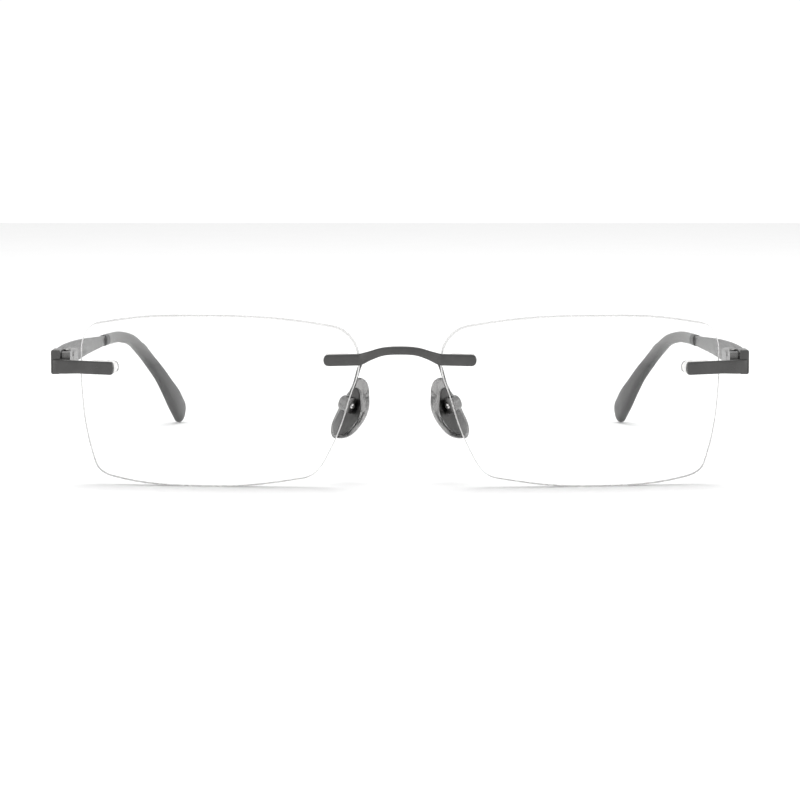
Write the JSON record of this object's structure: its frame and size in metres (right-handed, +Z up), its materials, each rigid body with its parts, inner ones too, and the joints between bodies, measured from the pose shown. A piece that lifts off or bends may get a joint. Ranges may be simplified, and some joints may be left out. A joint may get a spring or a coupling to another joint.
{
  "type": "rimless eyeglasses",
  "caption": "Rimless spectacles: clear drilled lenses pinned to a metal bridge and endpieces, with rocking nose pads, sprung folding temples and moulded tips.",
  "frame": {"origin": "on the surface that it stands on, under the middle of the whole object's box", "axes": "+X to the wearer's left, +Y from the lenses back to the temple tips, +Z up"},
  "size_m": [0.139, 0.1354, 0.0343],
  "materials": {
    "frame_metal": "dark gunmetal plating, satin",
    "polished_steel": "polished",
    "spring_steel": "drawn wire",
    "lens": "clear, polished, plano",
    "clear_plastic": "clear moulded",
    "silicone": "translucent, smooth",
    "tip_plastic": "translucent smoke grey, polished"
  },
  "bodies": {
    "front": {"bridge": "frame_metal", "right_lens": "lens", "right_bridge_plug": "clear_plastic", "right_endpiece_plug": "clear_plastic", "right_endpiece": "frame_metal", "right_front_hinge": "frame_metal", "right_hinge_screw": "polished_steel", "right_pad_arm": "frame_metal", "right_pad_box": "frame_metal", "right_pad_screw": "polished_steel", "left_lens": "lens", "left_bridge_plug": "clear_plastic", "left_endpiece_plug": "clear_plastic", "left_endpiece": "frame_metal", "left_front_hinge": "frame_metal", "left_hinge_screw": "polished_steel", "left_pad_arm": "frame_metal", "left_pad_box": "frame_metal", "left_pad_screw": "polished_steel"},
    "right_tongue": {"right_hinge_tongue": "frame_metal", "right_hinge_stop": "polished_steel", "right_hinge_spring": "spring_steel"},
    "right_temple": {"right_hinge_bush": "polished_steel", "right_hinge_housing": "frame_metal", "right_temple": "frame_metal", "right_temple_tip": "tip_plastic"},
    "right_pad": {"right_pad_core": "frame_metal", "right_nose_pad": "silicone"},
    "left_tongue": {"left_hinge_tongue": "frame_metal", "left_hinge_stop": "polished_steel", "left_hinge_spring": "spring_steel"},
    "left_temple": {"left_hinge_bush": "polished_steel", "left_hinge_housing": "frame_metal", "left_temple": "frame_metal", "left_temple_tip": "tip_plastic"},
    "left_pad": {"left_pad_core": "frame_metal", "left_nose_pad": "silicone"}
  },
  "joints": [
    {"name": "right_fold", "type": "hinge", "parent": "front", "child": "right_tongue", "pos_m": [-0.06695, -0.0525, 0.0244], "axis": [0, 0, -1], "range_deg": [0, 76]},
    {"name": "right_flex", "type": "slide", "parent": "right_tongue", "child": "right_temple", "axis": [0, 1, 0], "range_m": [0, 0.001], "stiffness_N_per_m": 3000, "springref_m": -0.001, "deforming": ["right_hinge_spring"]},
    {"name": "left_fold", "type": "hinge", "parent": "front", "child": "left_tongue", "pos_m": [0.06695, -0.0525, 0.0244], "axis": [0, 0, 1], "range_deg": [0, 84]},
    {"name": "left_flex", "type": "slide", "parent": "left_tongue", "child": "left_temple", "axis": [0, 1, 0], "range_m": [0, 0.001], "stiffness_N_per_m": 3000, "springref_m": -0.001, "deforming": ["left_hinge_spring"]},
    {"name": "right_pad_rock", "type": "hinge", "parent": "front", "child": "right_pad", "pos_m": [-0.01039, -0.05708, 0.0161], "axis": [-0.5767, 0.788, 0.2156], "range_deg": [-12, 12]},
    {"name": "left_pad_rock", "type": "hinge", "parent": "front", "child": "left_pad", "pos_m": [0.01039, -0.05708, 0.0161], "axis": [0.5767, 0.788, 0.2156], "range_deg": [-12, 12]}
  ]
}
